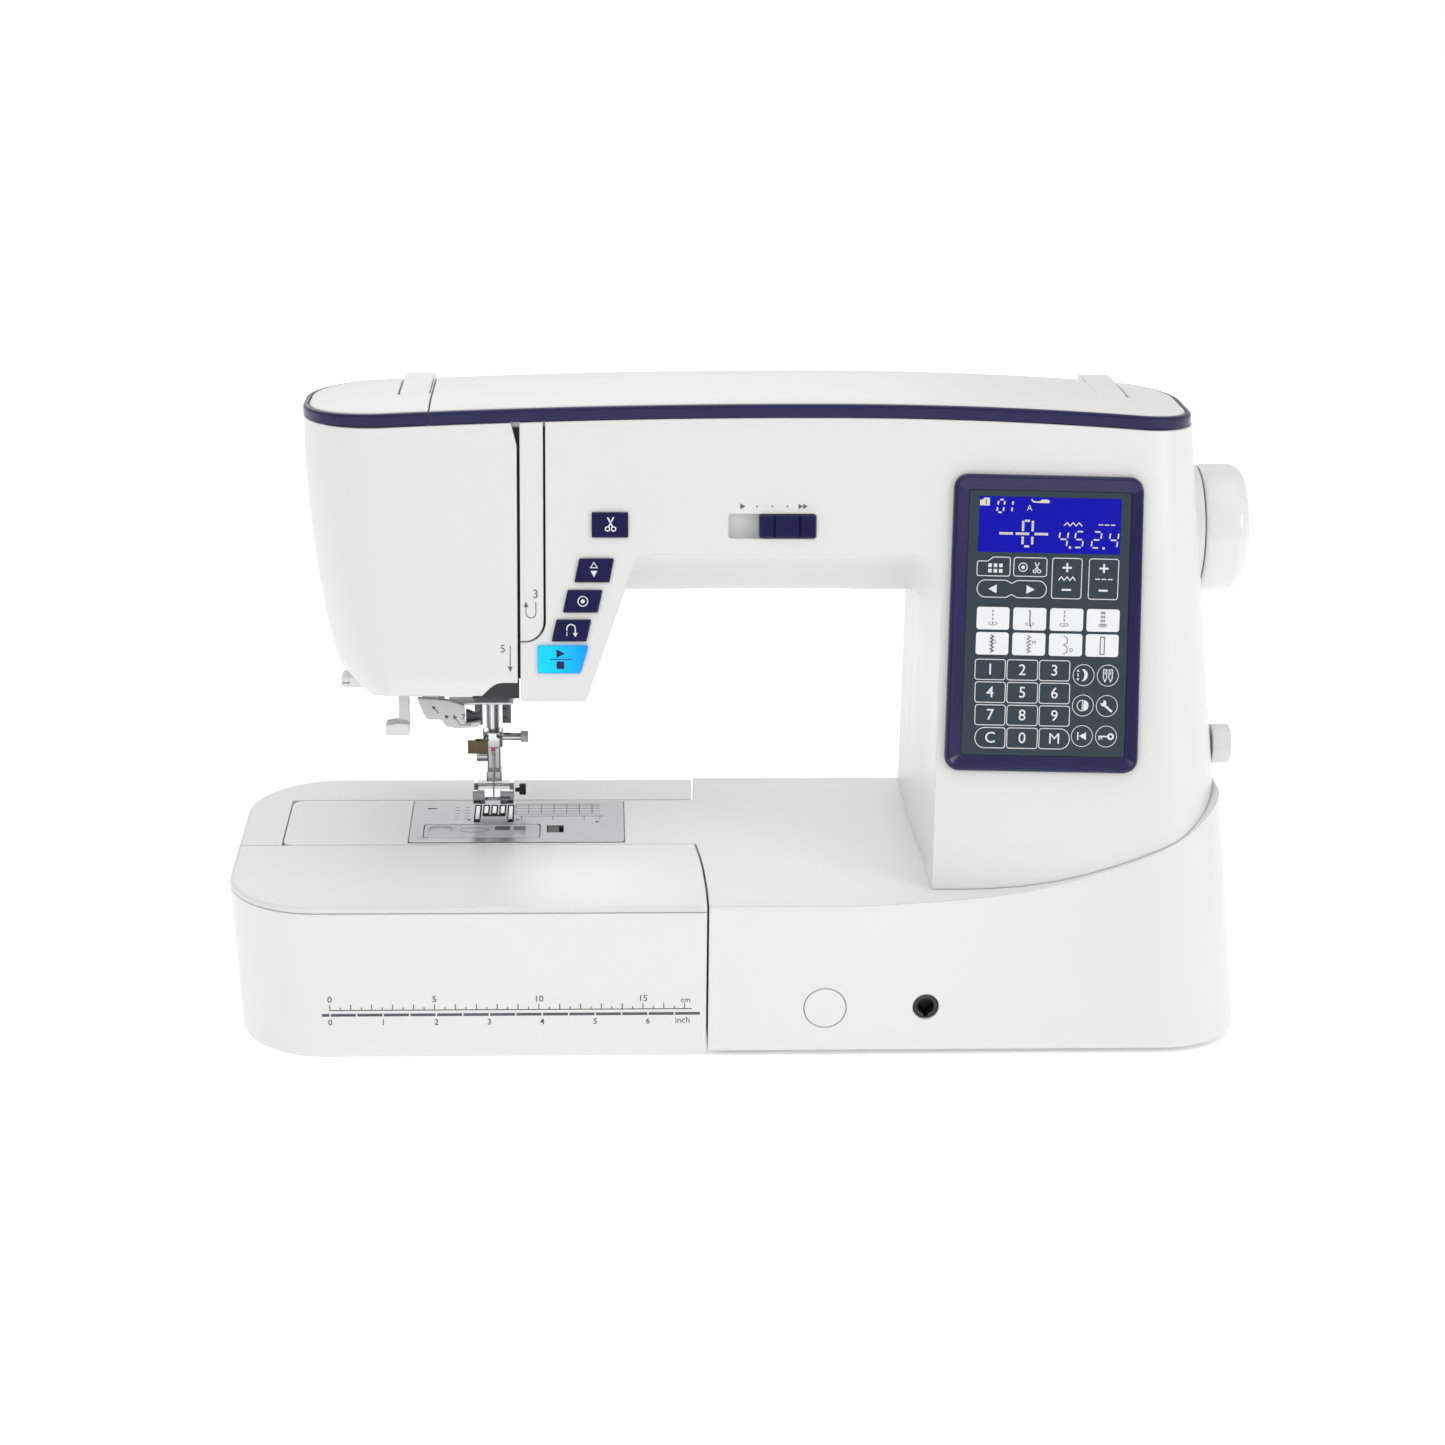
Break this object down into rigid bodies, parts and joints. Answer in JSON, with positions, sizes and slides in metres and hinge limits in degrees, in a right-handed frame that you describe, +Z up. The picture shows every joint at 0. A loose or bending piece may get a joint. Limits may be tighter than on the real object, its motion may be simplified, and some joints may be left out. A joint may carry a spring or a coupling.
{
  "type": "sewing machine",
  "caption": "Computerised free-arm sewing machine with leaning control face, key panel and display, extension table with storage, handwheel and folding carrying handle.",
  "frame": {"origin": "middle of the footprint on the table top", "axes": "+X to the right along the arm, +Y to the back, +Z up"},
  "size_m": [0.4988, 0.1806, 0.3074],
  "materials": {
    "white_plastic": "satin warm white moulding",
    "navy_plastic": "glossy dark navy",
    "black_plastic": "matte black",
    "bright_steel": "polished steel",
    "brushed_steel": "fine brushed steel",
    "cast_alloy": "rough casting",
    "motor_steel": "dark painted can",
    "rubber": "soft rubber",
    "clear_plastic": "clear moulding",
    "lamp_lens": "frosted, lit from behind",
    "keypad": "printed film with a blue display window",
    "lit_button": "translucent cyan, lit from behind",
    "circuit_board": "green board"
  },
  "bodies": {
    "machine": {"front_cover": "white_plastic", "rear_cover": "white_plastic", "face_cover": "white_plastic", "thread_guide_cover": "white_plastic", "top_cap": "white_plastic", "base_cover": "white_plastic", "access_plug": "white_plastic", "thread_cutter": "white_plastic", "spool_pin": "white_plastic", "top_cap_trim": "navy_plastic", "control_bezel": "navy_plastic", "base_pan": "black_plastic", "knee_lifter_socket": "black_plastic", "bobbin_holder": "black_plastic", "power_inlet": "black_plastic", "needle_plate": "brushed_steel", "main_frame": "cast_alloy", "needle_bar_frame": "cast_alloy", "motor": "motor_steel", "foot_front_left": "rubber", "foot_front_right": "rubber", "foot_rear_left": "rubber", "foot_rear_right": "rubber", "drive_belt": "rubber", "lamp_lens": "lamp_lens", "keypad_panel": "keypad", "display_board": "circuit_board"},
    "lid": {"top_lid": "white_plastic", "top_lid_trim": "navy_plastic"},
    "handle": {"carrying_handle": "white_plastic"},
    "table": {"extension_table": "white_plastic"},
    "storage": {"storage_lid": "white_plastic"},
    "upper_drive": {"handwheel": "white_plastic", "upper_shaft": "bright_steel"},
    "motor_drive": {"motor_pulley": "black_plastic"},
    "lower_drive": {"lower_shaft": "bright_steel"},
    "hook": {"rotary_hook": "bright_steel"},
    "bobbin": {"bobbin": "clear_plastic"},
    "feed": {"feed_dog": "brushed_steel"},
    "drop_lever": {"drop_feed_lever": "white_plastic"},
    "hook_cover": {"hook_cover": "clear_plastic"},
    "cover_release": {"hook_cover_release": "black_plastic"},
    "needle_bar": {"needle_bar": "bright_steel", "needle_clamp": "bright_steel", "needle": "bright_steel"},
    "presser": {"presser_bar": "bright_steel", "foot_holder": "bright_steel"},
    "sole": {"presser_foot": "brushed_steel"},
    "lifter": {"foot_lifter_lever": "white_plastic"},
    "take_up": {"take_up_lever": "bright_steel"},
    "threader": {"needle_threader": "white_plastic"},
    "slider": {"speed_slider": "navy_plastic"},
    "dial": {"feed_balance_dial": "white_plastic"},
    "switch": {"power_switch": "black_plastic"},
    "winder": {"bobbin_winder": "bright_steel"},
    "thread_cutter_key": {"thread_cutter_button": "navy_plastic"},
    "needle_position_key": {"needle_position_button": "navy_plastic"},
    "lock_stitch_key": {"lock_stitch_button": "navy_plastic"},
    "reverse_key": {"reverse_button": "navy_plastic"},
    "start_stop_key": {"start_stop_button": "lit_button"}
  },
  "joints": [
    {"name": "lid_hinge", "type": "hinge", "parent": "machine", "child": "lid", "pos_m": [0.0016, 0.0716, 0.3034], "axis": [1, 0, 0], "range_deg": [-75, 0]},
    {"name": "handle_hinge", "type": "hinge", "parent": "machine", "child": "handle", "pos_m": [0.0016, 0.023, 0.2964], "axis": [1, 0, 0], "range_deg": [0, 98]},
    {"name": "table_slide", "type": "slide", "parent": "machine", "child": "table", "axis": [-1, 0, 0], "range_m": [0, 0.24]},
    {"name": "storage_hinge", "type": "hinge", "parent": "table", "child": "storage", "pos_m": [-0.1234, -0.089, 0.076], "axis": [1, 0, 0], "range_deg": [0, 105]},
    {"name": "handwheel_turn", "type": "hinge", "parent": "machine", "child": "upper_drive", "pos_m": [0.0766, 0.029, 0.233], "axis": [1, 0, 0], "continuous": true},
    {"name": "motor_turn", "type": "hinge", "parent": "machine", "child": "motor_drive", "pos_m": [0.1766, 0.003, 0.072], "axis": [1, 0, 0], "continuous": true},
    {"name": "lower_shaft_turn", "type": "hinge", "parent": "machine", "child": "lower_drive", "pos_m": [0.0366, 0.0365, 0.046], "axis": [1, 0, 0], "continuous": true},
    {"name": "hook_turn", "type": "hinge", "parent": "machine", "child": "hook", "pos_m": [-0.1234, 0.0127, 0.055], "axis": [0, 0, 1], "continuous": true},
    {"name": "bobbin_turn", "type": "hinge", "parent": "machine", "child": "bobbin", "pos_m": [-0.1234, 0.0127, 0.062], "axis": [0, 0, 1], "continuous": true},
    {"name": "feed_dog_drop", "type": "slide", "parent": "machine", "child": "feed", "axis": [0, 0, 1], "range_m": [-0.0016, 0]},
    {"name": "drop_lever_slide", "type": "slide", "parent": "machine", "child": "drop_lever", "axis": [1, 0, 0], "range_m": [-0.022, 0]},
    {"name": "hook_cover_lift", "type": "slide", "parent": "machine", "child": "hook_cover", "axis": [0, 0, 1], "range_m": [0, 0.0035]},
    {"name": "cover_release_slide", "type": "slide", "parent": "machine", "child": "cover_release", "axis": [1, 0, 0], "range_m": [0, 0.0018], "stiffness_N_per_m": 300},
    {"name": "needle_bar_slide", "type": "slide", "parent": "machine", "child": "needle_bar", "axis": [0, 0, 1], "range_m": [-0.024, 0]},
    {"name": "presser_bar_slide", "type": "slide", "parent": "machine", "child": "presser", "axis": [0, 0, 1], "range_m": [-0.0065, 0]},
    {"name": "sole_tilt", "type": "hinge", "parent": "presser", "child": "sole", "pos_m": [-0.1234, 0.038, 0.0934], "axis": [1, 0, 0], "range_deg": [-8, 8]},
    {"name": "lifter_turn", "type": "hinge", "parent": "machine", "child": "lifter", "pos_m": [-0.1064, 0.057, 0.192], "axis": [1, 0, 0], "range_deg": [-22.2, 0]},
    {"name": "take_up_turn", "type": "hinge", "parent": "machine", "child": "take_up", "pos_m": [-0.1144, 0.007, 0.262], "axis": [1, 0, 0], "range_deg": [0, 40]},
    {"name": "threader_slide", "type": "slide", "parent": "machine", "child": "threader", "axis": [0, 0, 1], "range_m": [-0.03, 0]},
    {"name": "speed_slide", "type": "slide", "parent": "machine", "child": "slider", "axis": [1, 0, 0], "range_m": [-0.0142, 0]},
    {"name": "dial_turn", "type": "hinge", "parent": "machine", "child": "dial", "pos_m": [0.2366, -0.014, 0.134], "axis": [1, 0, 0], "range_deg": [-40, 40]},
    {"name": "switch_rock", "type": "hinge", "parent": "machine", "child": "switch", "pos_m": [0.2366, 0.041, 0.034], "axis": [0, 1, 0], "range_deg": [-6, 6]},
    {"name": "winder_turn", "type": "hinge", "parent": "machine", "child": "winder", "pos_m": [0.1386, 0.015, 0.27], "axis": [0, 0, 1], "continuous": true},
    {"name": "thread_cutter_press", "type": "slide", "parent": "machine", "child": "thread_cutter_key", "axis": [0, 0.9766, -0.2149], "range_m": [0, 0.0012], "stiffness_N_per_m": 400},
    {"name": "needle_position_press", "type": "slide", "parent": "machine", "child": "needle_position_key", "axis": [0, 0.9766, -0.2149], "range_m": [0, 0.0012], "stiffness_N_per_m": 400},
    {"name": "lock_stitch_press", "type": "slide", "parent": "machine", "child": "lock_stitch_key", "axis": [0, 0.9766, -0.2149], "range_m": [0, 0.0012], "stiffness_N_per_m": 400},
    {"name": "reverse_press", "type": "slide", "parent": "machine", "child": "reverse_key", "axis": [0, 0.9766, -0.2149], "range_m": [0, 0.0012], "stiffness_N_per_m": 400},
    {"name": "start_stop_press", "type": "slide", "parent": "machine", "child": "start_stop_key", "axis": [0, 0.9766, -0.2149], "range_m": [0, 0.0012], "stiffness_N_per_m": 400}
  ],
  "couplings": [
    {"joint": "motor_turn", "follows": "handwheel_turn", "ratio": 2.6867},
    {"joint": "lower_shaft_turn", "follows": "handwheel_turn", "ratio": 1},
    {"joint": "hook_turn", "follows": "handwheel_turn", "ratio": 2},
    {"joint": "feed_dog_drop", "follows": "drop_lever_slide", "ratio": 0.07273},
    {"joint": "lifter_turn", "follows": "presser_bar_slide", "rad_per_m": 59.073}
  ]
}
